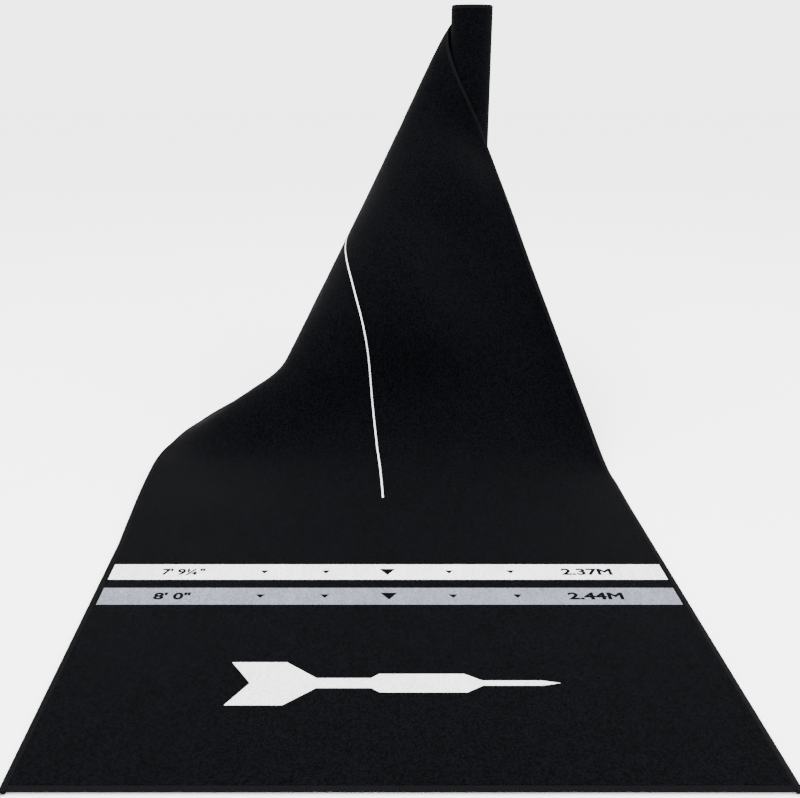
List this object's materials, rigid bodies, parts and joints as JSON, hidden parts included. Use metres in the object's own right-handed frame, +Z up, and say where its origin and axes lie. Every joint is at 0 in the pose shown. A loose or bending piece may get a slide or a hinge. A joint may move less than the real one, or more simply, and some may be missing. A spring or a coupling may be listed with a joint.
{
  "type": "dart throw mat",
  "caption": "Rubber-backed carpet mat for darts with inlaid throw bands, laid flat at its near end and rising in a sweep to a roll that stands on its end.",
  "frame": {"origin": "on the floor, mid-width, under the far edge of the white throw band", "axes": "+X to the right seen from the mat's near end, +Y along the mat towards the roll, +Z up"},
  "size_m": [0.8059, 1.6489, 0.8007],
  "materials": {
    "nitrile_rubber": "matte, with a fine pebble",
    "tufting_cloth": "plain weave",
    "black_pile": "short cut nylon pile",
    "white_pile": "short cut nylon pile",
    "grey_pile": "short cut nylon pile",
    "overlock_yarn": "wrapped yarn, slightly shiny"
  },
  "bodies": {
    "root": {"rubber_backing": "nitrile_rubber", "tufting_cloth": "tufting_cloth", "black_pile": "black_pile", "centre_line": "white_pile", "edge_binding_left": "overlock_yarn", "edge_binding_right": "overlock_yarn", "edge_binding_near": "overlock_yarn", "dart_emblem": "white_pile", "white_throw_band": "white_pile", "grey_throw_band": "grey_pile", "white_band_mark_1": "black_pile", "white_band_mark_2": "black_pile", "white_band_mark_3": "black_pile", "white_band_mark_4": "black_pile", "white_band_mark_5": "black_pile", "grey_band_mark_1": "black_pile", "grey_band_mark_2": "black_pile", "grey_band_mark_3": "black_pile", "grey_band_mark_4": "black_pile", "grey_band_mark_5": "black_pile", "rubber_backing_rolled": "nitrile_rubber", "tufting_cloth_rolled": "tufting_cloth", "black_pile_rolled_left": "black_pile", "black_pile_rolled_right": "black_pile", "centre_line_rolled": "white_pile", "edge_binding_left_rolled": "overlock_yarn", "edge_binding_right_rolled": "overlock_yarn", "edge_binding_far": "overlock_yarn"}
  },
  "joints": []
}
